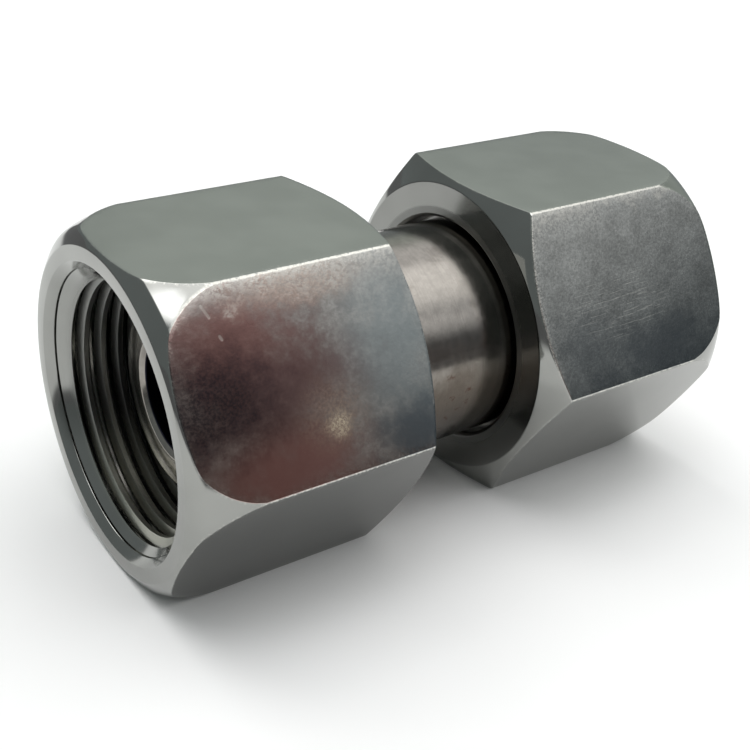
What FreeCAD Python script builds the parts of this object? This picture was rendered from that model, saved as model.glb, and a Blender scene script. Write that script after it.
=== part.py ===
import FreeCAD, Part
import math
import os

# A straight hydraulic union: one turned body with a swivel nut on each end. Millimetres.
# X runs along the flow bore, Z is up, and the origin is the middle of the union.
# Depths are counted from the left nut's mouth inwards. The right end is the left end turned about Z.

# Layout along the flow bore
NUT_LENGTH = 21.2
NUT_GAP = 11.0              # bare sleeve between the rear faces of the two nuts
TIP_DEPTH = 5.3             # from a nut's mouth to the tip of the body

# Hexagon of each nut, with the turned ends that cut its corners back
NUT_FLATS = 27.0
HEX_EDGE_RADIUS = 0.35
FRONT_FACE_INSET = 0.35     # from the circle that touches the flats
FRONT_CORNER_DROP = 1.3     # from the corners to the start of their rounding
FRONT_ROUND_RADIUS = 12.2
REAR_FACE_INSET = 0.55      # from the circle that touches the flats
CHAMFER_ANGLE = 30.0        # from the end faces

# Thread inside each nut, to the usual metric form
THREAD_DIAMETER = 22.0
THREAD_PITCH = 1.5
MINOR_PER_PITCH = 1.0825    # how far the tapped wall stands inside the thread diameter

# Mouth of each nut: a chamfer and a longer lead into the thread, with a short step between them
MOUTH_CHAMFER = 0.65
MOUTH_STEP_CLEARANCE = 0.3  # outside the thread
MOUTH_STEP_LENGTH = 0.2
MOUTH_ANGLE = 45.0          # of the chamfer and the lead, from the flow axis

# Collar at the rear of each nut, with the run-out groove of the thread before it
COLLAR_LENGTH = 6.0
RUNOUT_WIDTH = 2.0
RUNOUT_CLEARANCE = 0.15
COLLAR_CLEARANCE = 0.4      # the black ring that shows round the sleeve
COLLAR_EDGE = 0.3

# Body
SLEEVE_DIAMETER = 19.0
BORE_DIAMETER = 9.5
BORE_CHAMFER = 0.4
CONE_LENGTH = 6.5
CONE_HALF_ANGLE = 12.0
CONE_STEP = 0.4
TIP_EDGE = 0.4

# Seal ring on each cone
SEAL_CORD = 2.0
SEAL_TO_TIP = 3.0
SEAL_PROUD = 0.15
SEAL_SEAT_CLEARANCE = 0.02
SEAL_SIDE_CLEARANCE = 0.2

# Wire ring that keeps each nut on the body
WIRE_DIAMETER = 2.0
WIRE_TO_REAR = 3.0
WIRE_RUNNING_CLEARANCE = 0.05
WIRE_GAP_ANGLE = 24.0

# Sizes that follow from those above
HALF_LENGTH = NUT_LENGTH + NUT_GAP / 2
TIP_X = -HALF_LENGTH + TIP_DEPTH
HEX_FLAT_RADIUS = NUT_FLATS / 2
HEX_CORNER_RADIUS = HEX_FLAT_RADIUS / math.cos(math.radians(30))
MINOR_RADIUS = (THREAD_DIAMETER - MINOR_PER_PITCH * THREAD_PITCH) / 2
MOUTH_STEP_RADIUS = THREAD_DIAMETER / 2 + MOUTH_STEP_CLEARANCE
RUNOUT_RADIUS = THREAD_DIAMETER / 2 + RUNOUT_CLEARANCE
SLEEVE_RADIUS = SLEEVE_DIAMETER / 2
COLLAR_RADIUS = SLEEVE_RADIUS + COLLAR_CLEARANCE
COLLAR_DEPTH = NUT_LENGTH - COLLAR_LENGTH
CONE_SLOPE = math.tan(math.radians(CONE_HALF_ANGLE))
TIP_RADIUS = SLEEVE_RADIUS - CONE_STEP - CONE_LENGTH * CONE_SLOPE
SEAL_X = TIP_X + SEAL_TO_TIP
SEAL_OUTER_RADIUS = TIP_RADIUS + SEAL_TO_TIP * CONE_SLOPE + SEAL_PROUD
SEAL_RING_RADIUS = SEAL_OUTER_RADIUS - SEAL_CORD / 2
SEAL_GROOVE_RADIUS = SEAL_OUTER_RADIUS - SEAL_CORD - SEAL_SEAT_CLEARANCE
SEAL_GROOVE_HALF_WIDTH = SEAL_CORD / 2 + SEAL_SIDE_CLEARANCE
WIRE_X = -NUT_GAP / 2 - WIRE_TO_REAR
WIRE_RING_RADIUS = SLEEVE_RADIUS + COLLAR_CLEARANCE / 2
WIRE_GROOVE_SECTION = WIRE_DIAMETER / 2 + WIRE_RUNNING_CLEARANCE
WIRE_GROOVE_RADIUS = SLEEVE_RADIUS - WIRE_DIAMETER - 2 * WIRE_RUNNING_CLEARANCE

ORIGIN = FreeCAD.Vector(0, 0, 0)
FLOW_AXIS = FreeCAD.Vector(1, 0, 0)
UP = FreeCAD.Vector(0, 0, 1)


def section_point(x, radius):
    """A point of a turned outline, at a radius above the flow axis."""
    return FreeCAD.Vector(x, 0, radius)


def in_mouth(depth, radius):
    """A point of a turned outline, at a depth inside the left nut's mouth."""
    return section_point(-HALF_LENGTH + depth, radius)


def lines_through(points):
    """The straight edges that join the points in their order."""
    return [Part.makeLine(start, end) for start, end in zip(points, points[1:])]


def turned(edges):
    """The solid that a closed outline makes when it turns about the flow axis."""
    face = Part.Face(Part.Wire(edges))
    return face.revolve(ORIGIN, FLOW_AXIS, 360)


def hexagon_bar():
    """The hexagon of the left nut, lying on a flat, with its long edges worn round."""
    corners = []
    for count in range(6):
        angle = math.radians(60 * count)
        across = HEX_CORNER_RADIUS * math.cos(angle)
        height = HEX_CORNER_RADIUS * math.sin(angle)
        corners.append(FreeCAD.Vector(-HALF_LENGTH, across, height))
    face = Part.Face(Part.makePolygon(corners + corners[:1]))
    bar = face.extrude(FLOW_AXIS * NUT_LENGTH)
    long_edges = [edge for edge in bar.Edges if abs(edge.Length - NUT_LENGTH) < 1e-6
                  and abs(edge.tangentAt(edge.FirstParameter).x) > 0.999]
    return bar.makeFillet(HEX_EDGE_RADIUS, long_edges)


def nut_envelope():
    """The turned form that chamfers the rear corners and rounds the front ones."""
    chamfer_slope = math.tan(math.radians(CHAMFER_ANGLE))
    front_face_radius = HEX_FLAT_RADIUS - FRONT_FACE_INSET
    round_start_radius = HEX_CORNER_RADIUS - FRONT_CORNER_DROP
    round_start_depth = (round_start_radius - front_face_radius) * chamfer_slope
    round_centre_radius = HEX_CORNER_RADIUS - FRONT_ROUND_RADIUS
    round_rise = round_start_radius - round_centre_radius
    round_centre_depth = round_start_depth + math.sqrt(FRONT_ROUND_RADIUS ** 2 - round_rise ** 2)
    start_angle = math.asin(round_rise / FRONT_ROUND_RADIUS)
    middle_angle = (start_angle + math.pi / 2) / 2
    round_middle = in_mouth(round_centre_depth - FRONT_ROUND_RADIUS * math.cos(middle_angle),
                            round_centre_radius + FRONT_ROUND_RADIUS * math.sin(middle_angle))
    round_start = in_mouth(round_start_depth, round_start_radius)
    round_end = in_mouth(round_centre_depth, HEX_CORNER_RADIUS)
    rear_face_radius = HEX_FLAT_RADIUS - REAR_FACE_INSET
    rear_chamfer_depth = NUT_LENGTH - (HEX_CORNER_RADIUS - rear_face_radius) * chamfer_slope
    front = lines_through([in_mouth(0, 0), in_mouth(0, front_face_radius), round_start])
    corner = Part.Arc(round_start, round_middle, round_end).toShape()
    rear = lines_through([
        round_end,
        in_mouth(rear_chamfer_depth, HEX_CORNER_RADIUS),
        in_mouth(NUT_LENGTH, rear_face_radius),
        in_mouth(NUT_LENGTH, 0),
        in_mouth(0, 0),
    ])
    return turned(front + [corner] + rear)


def nut_cavity():
    """The way through the left nut: mouth, tapped wall, run-out groove and collar bore."""
    mouth_slope = math.tan(math.radians(MOUTH_ANGLE))
    step_end = MOUTH_CHAMFER + MOUTH_STEP_LENGTH
    lead_end = step_end + (MOUTH_STEP_RADIUS - MINOR_RADIUS) / mouth_slope
    runout_depth = COLLAR_DEPTH - RUNOUT_WIDTH
    return turned(lines_through([
        in_mouth(0, 0),
        in_mouth(0, MOUTH_STEP_RADIUS + MOUTH_CHAMFER * mouth_slope),
        in_mouth(MOUTH_CHAMFER, MOUTH_STEP_RADIUS),
        in_mouth(step_end, MOUTH_STEP_RADIUS),
        in_mouth(lead_end, MINOR_RADIUS),
        in_mouth(runout_depth, MINOR_RADIUS),
        in_mouth(runout_depth, RUNOUT_RADIUS),
        in_mouth(COLLAR_DEPTH, RUNOUT_RADIUS),
        in_mouth(COLLAR_DEPTH, COLLAR_RADIUS),
        in_mouth(NUT_LENGTH - COLLAR_EDGE, COLLAR_RADIUS),
        in_mouth(NUT_LENGTH, COLLAR_RADIUS + COLLAR_EDGE),
        in_mouth(NUT_LENGTH, 0),
        in_mouth(0, 0),
    ]))


def wire_groove():
    """The half-round groove in the left nut's collar, where the wire ring runs."""
    centre = section_point(WIRE_X, 0)
    return Part.makeTorus(WIRE_RING_RADIUS, WIRE_GROOVE_SECTION, centre, FLOW_AXIS)


def swivel_nut():
    """The left nut: a hexagon with turned ends, a threaded mouth and a grooved collar."""
    return hexagon_bar().common(nut_envelope()).cut(nut_cavity()).cut(wire_groove())


def body_end_outline():
    """The outline of the body's left end, from its bore round the tip to the sleeve."""
    groove_front = SEAL_X - SEAL_GROOVE_HALF_WIDTH
    groove_rear = SEAL_X + SEAL_GROOVE_HALF_WIDTH
    cone_end = TIP_X + CONE_LENGTH

    def on_cone(x):
        return section_point(x, TIP_RADIUS + (x - TIP_X) * CONE_SLOPE)

    return [
        section_point(TIP_X + BORE_CHAMFER, BORE_DIAMETER / 2),
        section_point(TIP_X, BORE_DIAMETER / 2 + BORE_CHAMFER),
        section_point(TIP_X, TIP_RADIUS - TIP_EDGE),
        on_cone(TIP_X + TIP_EDGE),
        on_cone(groove_front),
        section_point(groove_front, SEAL_GROOVE_RADIUS),
        section_point(groove_rear, SEAL_GROOVE_RADIUS),
        on_cone(groove_rear),
        on_cone(cone_end),
        section_point(cone_end + CONE_STEP, SLEEVE_RADIUS),
        section_point(WIRE_X - WIRE_GROOVE_SECTION, SLEEVE_RADIUS),
        section_point(WIRE_X - WIRE_GROOVE_SECTION, WIRE_GROOVE_RADIUS),
        section_point(WIRE_X + WIRE_GROOVE_SECTION, WIRE_GROOVE_RADIUS),
        section_point(WIRE_X + WIRE_GROOVE_SECTION, SLEEVE_RADIUS),
    ]


def connector_body():
    """The turned body: a bored sleeve with a sealing cone at each end."""
    left_end = body_end_outline()
    right_end = [section_point(-point.x, point.z) for point in reversed(left_end)]
    outline = left_end + right_end
    return turned(lines_through(outline + outline[:1]))


def seal_ring():
    """The round seal in the groove of the left cone."""
    return Part.makeTorus(SEAL_RING_RADIUS, SEAL_CORD / 2, section_point(SEAL_X, 0), FLOW_AXIS)


def retaining_ring():
    """The open wire ring in the left nut's collar, with its gap at the top."""
    section = Part.Wire(Part.makeCircle(WIRE_DIAMETER / 2, section_point(WIRE_X, WIRE_RING_RADIUS),
                                        FreeCAD.Vector(0, 1, 0)))
    wire = Part.Face(section).revolve(ORIGIN, FLOW_AXIS, 360 - WIRE_GAP_ANGLE)
    return wire.rotate(ORIGIN, FLOW_AXIS, WIRE_GAP_ANGLE / 2)


def at_right(shape):
    """The same piece at the right end of the union."""
    turned_round = shape.copy()
    turned_round.rotate(ORIGIN, UP, 180)
    return turned_round


os.makedirs("parts", exist_ok=True)
connector_body().exportStep("parts/connector_body.step")
END_PIECES = {"nut": swivel_nut, "seal_ring": seal_ring, "retaining_ring": retaining_ring}
for name, make in END_PIECES.items():
    piece = make()
    piece.exportStep(f"parts/left_{name}.step")
    at_right(piece).exportStep(f"parts/right_{name}.step")
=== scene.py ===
import logging
import math
from collections.abc import Callable
from dataclasses import dataclass, field
from enum import Enum
from functools import reduce

import bpy
from mathutils import Matrix, Vector


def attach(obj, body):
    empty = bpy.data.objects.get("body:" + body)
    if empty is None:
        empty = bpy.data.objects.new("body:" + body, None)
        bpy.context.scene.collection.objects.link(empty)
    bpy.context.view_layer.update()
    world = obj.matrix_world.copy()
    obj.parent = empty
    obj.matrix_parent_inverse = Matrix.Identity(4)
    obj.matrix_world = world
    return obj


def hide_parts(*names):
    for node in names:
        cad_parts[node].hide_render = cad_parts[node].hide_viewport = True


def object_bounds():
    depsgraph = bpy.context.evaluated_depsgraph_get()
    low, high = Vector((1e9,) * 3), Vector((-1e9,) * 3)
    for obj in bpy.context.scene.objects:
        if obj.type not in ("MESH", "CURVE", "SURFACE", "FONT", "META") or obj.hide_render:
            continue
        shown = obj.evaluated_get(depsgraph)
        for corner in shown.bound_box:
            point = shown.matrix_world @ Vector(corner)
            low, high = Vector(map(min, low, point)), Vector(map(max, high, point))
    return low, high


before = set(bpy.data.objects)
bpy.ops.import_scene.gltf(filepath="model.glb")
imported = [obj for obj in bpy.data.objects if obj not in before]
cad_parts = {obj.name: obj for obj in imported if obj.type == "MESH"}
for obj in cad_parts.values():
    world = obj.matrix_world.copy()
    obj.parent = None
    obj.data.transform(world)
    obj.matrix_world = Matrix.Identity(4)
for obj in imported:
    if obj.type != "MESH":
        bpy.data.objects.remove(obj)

LOG = logging.getLogger("hydraulic_union")
CAD_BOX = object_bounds()
MM = 0.001
FULL_TURN = 2 * math.pi
SIDES = 6
SIXTH_TURN = FULL_TURN / SIDES
MIDDLE = 0.5  # of every noise

Piece = bpy.types.Object
Material = bpy.types.Material
Sockets = dict[str | int, object]
Pair = tuple[float, float]
Triple = tuple[float, float, float]


class End(Enum):
    """The two ends of the union, each with the sense of X that its mouth faces."""

    LEFT = -1
    RIGHT = 1

    @property
    def prefix(self) -> str:
        """The start of the names of this end's pieces."""
        return self.name.lower()

    @property
    def nut_body(self) -> str:
        """The body that this end's nut turns with."""
        return f"{self.prefix}_swivel_nut"


@dataclass(frozen=True)
class Corner:
    """One corner of a turned outline, in millimetres.

    Args:
        depth: Distance inwards from the left nut's mouth.
        radius: Distance from the flow axis.
        blend: How far each side of the corner its rounding starts, or 0 for a plain corner.
        steps: The number of edges that the rounding has.
    """

    depth: float
    radius: float
    blend: float = 0.0
    steps: int = 3


@dataclass(frozen=True)
class Sweep:
    """A round stretch of a turned outline, from the corner before it.

    Args:
        centre_depth: Depth of the arc's centre, in millimetres.
        centre_radius: Radius of the arc's centre, in millimetres.
        degrees: How far the arc turns, positive from outwards to deeper.
        steps: The number of edges in the arc.
    """

    centre_depth: float
    centre_radius: float
    degrees: float
    steps: int


Outline = list[Corner | Sweep]


class Bench:
    """Mesh work by hand, on one object at a time."""

    WELD = 2e-7           # points that lie closer together than this, in metres, are one
    SHARP_DEGREES = 32.0  # edges that turn more than this stay sharp

    @staticmethod
    def take(piece: Piece) -> None:
        """Deselects everything else and makes a piece the active one."""
        if bpy.context.object and bpy.context.object.mode != "OBJECT":
            bpy.ops.object.mode_set(mode="OBJECT")
        bpy.ops.object.select_all(action="DESELECT")
        piece.select_set(True)
        bpy.context.view_layer.objects.active = piece

    @staticmethod
    def edit(kind: str, action: str = "DESELECT") -> None:
        """Enters edit mode on the active object.

        Args:
            kind: What is picked from then on: VERT, EDGE or FACE.
            action: SELECT for all of it to start with, or DESELECT for none.
        """
        bpy.ops.object.mode_set(mode="EDIT")
        bpy.ops.mesh.select_mode(type=kind)
        bpy.ops.mesh.select_all(action=action)

    @staticmethod
    def leave() -> None:
        """Goes back to object mode."""
        bpy.ops.object.mode_set(mode="OBJECT")

    @staticmethod
    def pick(piece: Piece, kind: str, wanted: Callable[..., bool]) -> int:
        """Opens a piece in edit mode with some of its points or faces selected.

        Args:
            piece: The active object.
            kind: What is picked: VERT or FACE.
            wanted: Takes a point, or a face's centre and normal, and says whether it is picked.

        Returns:
            The number of points or faces picked.
        """
        Bench.edit(kind)
        Bench.leave()
        if kind == "FACE":
            items = piece.data.polygons
            flags = [wanted(face.center, face.normal) for face in items]
        else:
            items = piece.data.vertices
            flags = [wanted(point.co) for point in items]
        items.foreach_set("select", flags)
        bpy.ops.object.mode_set(mode="EDIT")
        return sum(flags)

    @staticmethod
    def apply(piece: Piece, kind: str, **settings: object) -> None:
        """Adds a modifier to a piece and applies it.

        Args:
            piece: The object to change.
            kind: The modifier's type.
            settings: The modifier's own settings.
        """
        modifier = piece.modifiers.new(kind.lower(), kind)
        for name, value in settings.items():
            setattr(modifier, name, value)
        Bench.take(piece)
        bpy.ops.object.modifier_apply(modifier=modifier.name)

    @staticmethod
    def finish(piece: Piece, plain: Callable[[Vector, Vector], bool] | None = None) -> None:
        """Makes all faces point outwards and shades them smooth up to an angle.

        Args:
            piece: The object to finish.
            plain: Takes a face's centre and normal, and says whether it is shaded flat.
        """
        Bench.take(piece)
        Bench.edit("FACE", "SELECT")
        bpy.ops.mesh.normals_make_consistent(inside=False)
        Bench.leave()
        bpy.ops.object.shade_smooth_by_angle(angle=math.radians(Bench.SHARP_DEGREES))
        if plain:
            Bench.pick(piece, "FACE", plain)
            bpy.ops.mesh.faces_shade_flat()
            Bench.leave()
        Bench.apply(piece, "WEIGHTED_NORMAL", keep_sharp=True)


class Lathe:
    """Turns closed outlines about the flow axis.

    Args:
        half_length: Half the union's length in millimetres, so depth 0 lies at minus this X.
        steps: The number of faces round a turned piece.
    """

    def __init__(self, half_length: float, steps: int) -> None:
        """Keeps the length and the number of steps."""
        self.half_length = half_length
        self.steps = steps

    def place(self, depth: float, radius: float) -> Vector:
        """The point in metres above the axis at a depth and radius in millimetres."""
        return Vector((depth - self.half_length, 0.0, radius)) * MM

    def draw(self, name: str, outline: Outline) -> Piece:
        """Draws a closed outline edge by edge and rounds its corners.

        Args:
            name: The name of the new piece.
            outline: Corners and sweeps in order. The last one joins the first.

        Returns:
            The piece that holds the outline, at the origin and in object mode.
        """
        first = outline[0]
        here = self.place(first.depth, first.radius)
        Bench.take(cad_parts["connector_body"])
        bpy.ops.mesh.primitive_plane_add(size=MM, location=here)
        piece = bpy.context.object
        piece.name = piece.data.name = name
        bpy.ops.object.transform_apply(location=True, rotation=False, scale=False)
        Bench.edit("VERT", "SELECT")
        bpy.ops.mesh.merge(type="CENTER")
        for part in outline[1:] + [first]:
            if isinstance(part, Sweep):
                centre = self.place(part.centre_depth, part.centre_radius)
                bpy.ops.mesh.spin(steps=part.steps, angle=-math.radians(part.degrees),
                                  center=centre, axis=(0, 1, 0))
                here = centre + Matrix.Rotation(math.radians(part.degrees), 3, "Y") @ (here - centre)
            else:
                there = self.place(part.depth, part.radius)
                bpy.ops.mesh.extrude_vertices_move(TRANSFORM_OT_translate={"value": there - here})
                here = there
        bpy.ops.mesh.select_all(action="SELECT")
        bpy.ops.mesh.remove_doubles(threshold=Bench.WELD)
        self.round_corners(piece, outline)
        Bench.leave()
        return piece

    def turn(self, name: str, outline: Outline) -> Piece:
        """Draws an outline and spins it into a closed solid.

        Args:
            name: The name of the new piece.
            outline: Corners and sweeps in order. The last one joins the first.

        Returns:
            The turned piece, at the origin.
        """
        piece = self.draw(name, outline)
        Bench.edit("VERT", "SELECT")
        bpy.ops.mesh.spin(steps=self.steps, angle=FULL_TURN, center=(0, 0, 0), axis=(1, 0, 0))
        bpy.ops.mesh.select_all(action="SELECT")
        bpy.ops.mesh.remove_doubles(threshold=Bench.WELD)
        bpy.ops.mesh.normals_make_consistent(inside=False)
        Bench.leave()
        return piece

    def round_corners(self, piece: Piece, outline: Outline) -> None:
        """Rounds the corners of a drawn outline that have a blend.

        Args:
            piece: The object that holds the outline, in edit mode.
            outline: The corners and sweeps that it was drawn from.
        """
        corners = [part for part in outline if isinstance(part, Corner) and part.blend]
        for blend, steps in sorted({(corner.blend, corner.steps) for corner in corners}):
            spots = [self.place(corner.depth, corner.radius) for corner in corners
                     if (corner.blend, corner.steps) == (blend, steps)]
            Bench.pick(piece, "VERT",
                       lambda point: any((point - spot).length < Bench.WELD for spot in spots))
            bpy.ops.mesh.bevel(offset=blend * MM, segments=steps, affect="VERTICES", clamp_overlap=False)
            Bench.leave()


@dataclass
class SwivelNut:
    """One hexagon nut: turned blank, milled flats and a cut thread. Sizes are in millimetres.

    Args:
        flats: Width across the flats.
        length: Length along the flow axis.
        blank_radius: Radius of the turned blank between its ends.
        front_face: Radius of the flat ring round the mouth.
        round_start: Radius where the front chamfer meets the rounding.
        round_radius: Radius of the rounded front corners.
        round_centre: Radius at which the rounding's centre lies.
        rear_face: Radius of the flat rear face.
        chamfer_slope: Rise of both chamfers from the end faces.
        mouth_chamfer: Size of the mouth's chamfer, at half a right angle.
        step: Radius of the short plain step behind that chamfer.
        step_length: Length of that step, before the lead into the thread.
        major: Outer radius of the thread.
        minor: Radius of the tapped wall.
        pitch: Distance between turns.
        thread_start: Depth of the middle of the groove where the thread starts.
        runout: Radius of the groove where the thread ends.
        runout_width: Width of that groove.
        collar_length: Length of the collar at the rear.
        collar: Radius of the collar's bore.
        collar_edge: Size of the collar's chamfer.
        wire_to_rear: Distance of the wire ring from the rear face.
        wire_radius: Radius of the wire ring's centre line.
        wire_groove: Radius of the groove's half-round section.
        mouth_edge: Rounding of the mouth's outer edge.
        face_edge: Rounding of the end faces' outer edges.
        chamfer_edge: Rounding of the rear chamfer and of the collar's shoulder.
        bore_edge: Rounding of the edges inside.
        round_blend: Rounding from the front chamfer to the rounded corners.
        round_steps: The number of edges in the rounded corners, and half as many in that blend.
        groove_steps: The number of edges in the wire groove.
        thread_steps: The number of steps in one turn of the thread.
        tool_overlap: How far the thread's tool reaches inside the tapped wall.
        tool_runout: How far before the groove's end the tool stops.
    """

    CHAMFER_DEGREES = 30
    FLANK_DEGREES = 30
    ROOT_PARTS = 16       # half of the flat at the thread's root is this part of the pitch
    FLAT_COSINE = 0.99999
    FLAT_REACH = 1e-6

    flats: float = 27.0
    length: float = 21.2
    blank_radius: float = 15.534
    front_face: float = 13.15
    round_start: float = 14.288
    round_radius: float = 12.2
    round_centre: float = 3.388
    rear_face: float = 12.95
    chamfer_slope: float = math.tan(math.radians(CHAMFER_DEGREES))
    mouth_chamfer: float = 0.65
    step: float = 11.3
    step_length: float = 0.2
    major: float = 11.0
    minor: float = 10.188
    pitch: float = 1.5
    thread_start: float = 1.05
    runout: float = 11.15
    runout_width: float = 2.0
    collar_length: float = 6.0
    collar: float = 9.9
    collar_edge: float = 0.3
    wire_to_rear: float = 3.0
    wire_radius: float = 9.7
    wire_groove: float = 1.05
    mouth_edge: float = 0.05
    face_edge: float = 0.08
    chamfer_edge: float = 0.1
    bore_edge: float = 0.04
    round_blend: float = 0.5
    round_steps: int = 12
    groove_steps: int = 16
    thread_steps: int = 120
    tool_overlap: float = 0.2
    tool_runout: float = 0.1

    def front_outline(self) -> Outline:
        """The outside of the blank from the mouth's edge to the straight stretch."""
        start_depth = (self.round_start - self.front_face) * self.chamfer_slope
        start_angle = math.asin((self.round_start - self.round_centre) / self.round_radius)
        end_angle = math.asin((self.blank_radius - self.round_centre) / self.round_radius)
        centre_depth = start_depth + self.round_radius * math.cos(start_angle)
        return [
            Corner(0, self.step + self.mouth_chamfer, self.mouth_edge),
            Corner(0, self.front_face, self.face_edge),
            Corner(start_depth, self.round_start, self.round_blend, self.round_steps // 2),
            Sweep(centre_depth, self.round_centre, math.degrees(end_angle - start_angle),
                  self.round_steps),
        ]

    def rear_outline(self) -> Outline:
        """The outside of the blank from the straight stretch to the rear face."""
        chamfer_depth = self.length - (self.blank_radius - self.rear_face) * self.chamfer_slope
        return [
            Corner(chamfer_depth, self.blank_radius, self.chamfer_edge),
            Corner(self.length, self.rear_face, self.face_edge),
        ]

    def bore_outline(self) -> Outline:
        """The inside of the blank from the collar's rear edge to the mouth."""
        collar_start = self.length - self.collar_length
        wire_depth = self.length - self.wire_to_rear
        opening = math.acos((self.collar - self.wire_radius) / self.wire_groove)
        half_mouth = self.wire_groove * math.sin(opening)
        step_end = self.mouth_chamfer + self.step_length
        return [
            Corner(self.length, self.collar + self.collar_edge, self.bore_edge),
            Corner(self.length - self.collar_edge, self.collar, self.bore_edge),
            Corner(wire_depth + half_mouth, self.collar),
            Sweep(wire_depth, self.wire_radius, -math.degrees(2 * opening), self.groove_steps),
            Corner(collar_start, self.collar, self.chamfer_edge),
            Corner(collar_start, self.runout),
            Corner(collar_start - self.runout_width, self.runout),
            Corner(collar_start - self.runout_width, self.minor),
            Corner(step_end + self.step - self.minor, self.minor),
            Corner(step_end, self.step),
            Corner(self.mouth_chamfer, self.step, self.bore_edge),
        ]

    def build(self, lathe: Lathe) -> Piece:
        """Turns the left nut's blank on a lathe, cuts its thread and mills its flats."""
        nut = lathe.turn("left_nut_detailed",
                         self.front_outline() + self.rear_outline() + self.bore_outline())
        self.cut_thread(nut, lathe)
        self.mill_flats(nut)
        Bench.finish(nut, self.on_flat)
        return nut

    def directions(self) -> list[Vector]:
        """The directions that the six flats face."""
        angles = [math.radians(360 / SIDES * (count + 0.5)) for count in range(SIDES)]
        return [Vector((0, math.cos(angle), math.sin(angle))) for angle in angles]

    def on_flat(self, centre: Vector, normal: Vector) -> bool:
        """Whether a face with this centre and normal lies in one of the flats."""
        apothem = self.flats / 2 * MM
        return any(normal.dot(direction) > self.FLAT_COSINE
                   and abs(centre.dot(direction) - apothem) < self.FLAT_REACH
                   for direction in self.directions())

    def mill_flats(self, nut: Piece) -> None:
        """Cuts the six flats into a turned blank. The finish rounds their edges."""
        Bench.take(nut)
        for direction in self.directions():
            Bench.edit("VERT", "SELECT")
            bpy.ops.mesh.bisect(plane_co=direction * (self.flats / 2 * MM), plane_no=direction,
                                use_fill=True, clear_outer=True, threshold=Bench.WELD)
            Bench.leave()
        LOG.info("%s: %d flats", nut.name, Bench.pick(nut, "FACE", self.on_flat))
        Bench.leave()

    def cut_thread(self, nut: Piece, lathe: Lathe) -> None:
        """Cuts a right-handed thread into the plain bore.

        Args:
            nut: The nut, with its bore at the tapped radius.
            lathe: The lathe that places the tool.
        """
        root = self.pitch / self.ROOT_PARTS
        inner = self.minor - self.tool_overlap
        half_width = root + (self.major - inner) * math.tan(math.radians(self.FLANK_DEGREES))
        start = self.thread_start
        end = self.length - self.collar_length - half_width - self.tool_runout
        tool = lathe.draw("thread_cutter", [
            Corner(start - half_width, inner),
            Corner(start + half_width, inner),
            Corner(start + root, self.major),
            Corner(start - root, self.major),
        ])
        steps = math.ceil((end - start) / self.pitch) * self.thread_steps
        Bench.apply(tool, "SCREW", axis="X", angle=FULL_TURN * (end - start) / self.pitch,
                    screw_offset=(end - start) * MM, steps=steps, render_steps=steps,
                    use_normal_calculate=True)
        Bench.edit("EDGE")
        bpy.ops.mesh.select_non_manifold()
        bpy.ops.mesh.fill_holes(sides=4)
        bpy.ops.mesh.select_all(action="SELECT")
        bpy.ops.mesh.normals_make_consistent(inside=False)
        Bench.leave()
        Bench.apply(nut, "BOOLEAN", operation="DIFFERENCE", solver="EXACT", object=tool)
        bpy.data.objects.remove(tool)

    @staticmethod
    def turned_round(nut: Piece) -> Piece:
        """The right nut: a copy of the left nut with its own mesh, turned to the right end."""
        Bench.take(nut)
        bpy.ops.object.duplicate(linked=False)
        copy = bpy.context.object
        copy.name = copy.data.name = "right_nut_detailed"
        bpy.ops.transform.rotate(value=math.pi, orient_axis="Z", center_override=(0, 0, 0))
        bpy.ops.object.transform_apply(location=True, rotation=True, scale=True)
        return copy


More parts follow.
